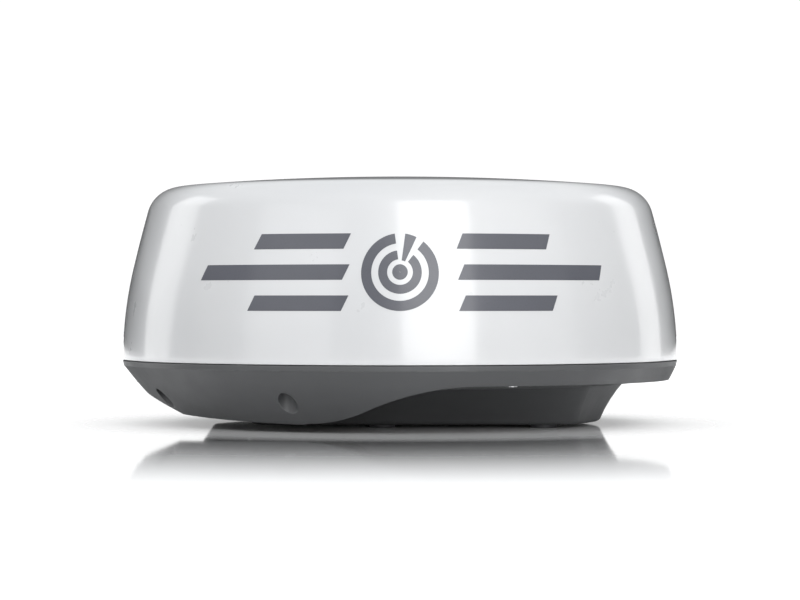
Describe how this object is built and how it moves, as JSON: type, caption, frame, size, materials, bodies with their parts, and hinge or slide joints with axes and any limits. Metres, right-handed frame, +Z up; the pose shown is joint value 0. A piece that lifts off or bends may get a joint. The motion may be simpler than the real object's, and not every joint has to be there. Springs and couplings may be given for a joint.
{
  "type": "radar dome antenna",
  "caption": "Marine radar dome: a glossy white tapered cover on a grey cast base with a swept lobe, lifting off a belt-driven rotating array.",
  "frame": {"origin": "on the surface the pads rest on, under the dome's axis, which is also the array's spin axis", "axes": "+Z up along the spin axis; -Y is the front, towards the bow, with the lobe at front left; +Y is the rear, where the socket is; +X is right seen from the front"},
  "size_m": [0.51, 0.51, 0.2255],
  "materials": {
    "cover_white": "smooth gloss gelcoat",
    "base_grey": "satin powder coat",
    "seal_rubber": "matt",
    "pad_rubber": "matt",
    "stainless": "machined",
    "brass": "machined",
    "black_plastic": "moulded",
    "contact_gold": "plated",
    "chassis_aluminium": "passivated sheet",
    "cast_aluminium": "machined casting",
    "bearing_steel": "ground",
    "motor_black": "satin",
    "belt_rubber": "matt",
    "pulley_acetal": "moulded",
    "board_green": "solder mask",
    "chip_black": "moulded epoxy",
    "header_ivory": "moulded nylon",
    "tinplate": "bright tinplate",
    "sink_black": "black anodised",
    "capacitor_blue": "sleeve",
    "ferrite": "ferrite and tape",
    "array_grey": "moulded",
    "frame_aluminium": "folded sheet",
    "magnet_nickel": "nickel plated"
  },
  "bodies": {
    "base": {"base_casting": "base_grey", "rim_seal": "seal_rubber", "cover_screws": "stainless", "screw_washers": "stainless", "mounting_inserts": "stainless", "rest_pads": "pad_rubber", "connector_shell": "cast_aluminium", "connector_insert": "black_plastic", "connector_pins": "contact_gold", "connector_gasket": "seal_rubber", "connector_nut": "stainless", "breather_vent": "black_plastic", "chassis_plate": "chassis_aluminium", "chassis_screws": "stainless", "bearing_housing": "cast_aluminium", "housing_screws": "stainless", "bearing_outer_races": "bearing_steel", "bearing_balls": "bearing_steel", "motor_body": "motor_black", "motor_bracket": "cast_aluminium", "motor_screws": "stainless", "bracket_screws": "stainless", "drive_belt": "belt_rubber", "rotary_joint_housing": "brass", "rotary_joint_screws": "stainless", "sensor_bracket": "cast_aluminium", "heading_sensor": "board_green", "transceiver_board": "board_green", "board_standoffs": "brass", "board_screws": "stainless", "board_chips": "chip_black", "board_headers": "header_ivory", "rf_shield_can": "tinplate", "heat_sink": "sink_black", "power_board": "board_green", "power_capacitors": "capacitor_blue", "power_transformer": "ferrite", "power_inductors": "ferrite"},
    "antenna": {"bearing_inner_races": "bearing_steel", "turntable_pulley": "pulley_acetal", "pulley_screws": "stainless", "spindle": "bearing_steel", "retaining_ring": "motor_black", "rotary_joint_rotor": "contact_gold", "index_magnet": "magnet_nickel", "antenna_bracket": "cast_aluminium", "antenna_bolts": "stainless", "back_frame": "frame_aluminium", "frame_bolts": "stainless", "counterweight": "stainless", "array_spacers": "black_plastic", "array_screws": "stainless", "array_board": "board_green", "array_patches": "contact_gold", "array_cover": "array_grey"},
    "motor_rotor": {"motor_shaft": "bearing_steel", "motor_pulley": "cast_aluminium", "pulley_grub_screw": "motor_black"},
    "radome": {"radome_cover": "cover_white", "cover_inserts": "brass"}
  },
  "joints": [
    {"name": "antenna_spin", "type": "hinge", "parent": "base", "child": "antenna", "pos_m": [0, 0, 0.1], "axis": [0, 0, 1], "continuous": true},
    {"name": "motor_spin", "type": "hinge", "parent": "base", "child": "motor_rotor", "pos_m": [-0.085, -0.045, 0.094], "axis": [0, 0, 1], "continuous": true},
    {"name": "cover_lift", "type": "slide", "parent": "base", "child": "radome", "axis": [0, 0, 1], "range_m": [0, 0.26]}
  ],
  "couplings": [
    {"joint": "motor_spin", "follows": "antenna_spin", "ratio": 4}
  ]
}
